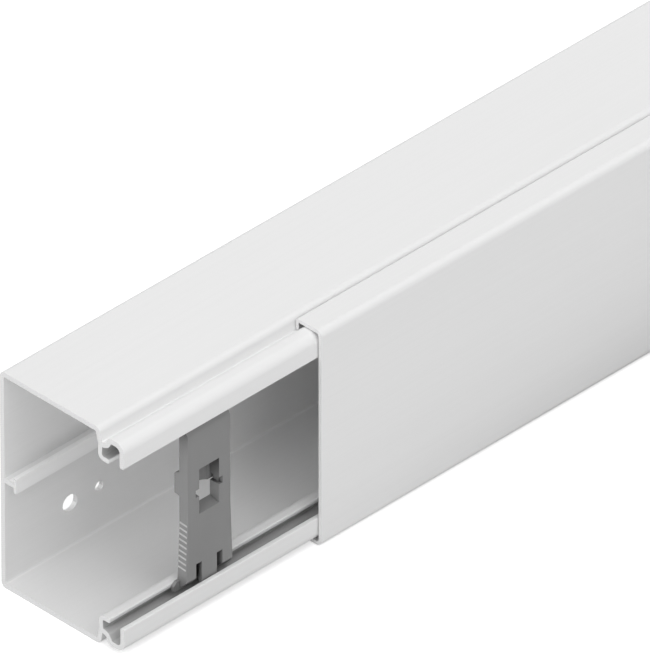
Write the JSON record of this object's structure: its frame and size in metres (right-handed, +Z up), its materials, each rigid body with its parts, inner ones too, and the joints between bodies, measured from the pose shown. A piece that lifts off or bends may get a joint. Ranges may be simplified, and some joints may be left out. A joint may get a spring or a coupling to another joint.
{
  "type": "cable trunking",
  "caption": "Wall trunking: extruded C-section base with snap lips and fixing holes, press-on cover drawn back from one end, and a moulded cable retaining clip across the open front.",
  "frame": {"origin": "centre of the lower side's footprint, at floor level", "axes": "+X along the trunking away from the end with the open front, +Y towards the wall, +Z up"},
  "size_m": [2.0926, 0.0612, 0.09],
  "materials": {
    "base_pvc": "satin",
    "cover_pvc": "satin",
    "clip_plastic": "satin"
  },
  "bodies": {
    "base": {"trunking_base": "base_pvc"},
    "cover": {"cover": "cover_pvc"},
    "clip": {"cable_clip": "clip_plastic"}
  },
  "joints": [
    {"name": "cover_slide", "type": "slide", "parent": "base", "child": "cover", "axis": [1, 0, 0], "range_m": [-0.0926, 0.9]},
    {"name": "clip_slide", "type": "slide", "parent": "base", "child": "clip", "axis": [1, 0, 0], "range_m": [-0.028, 1.94]}
  ]
}
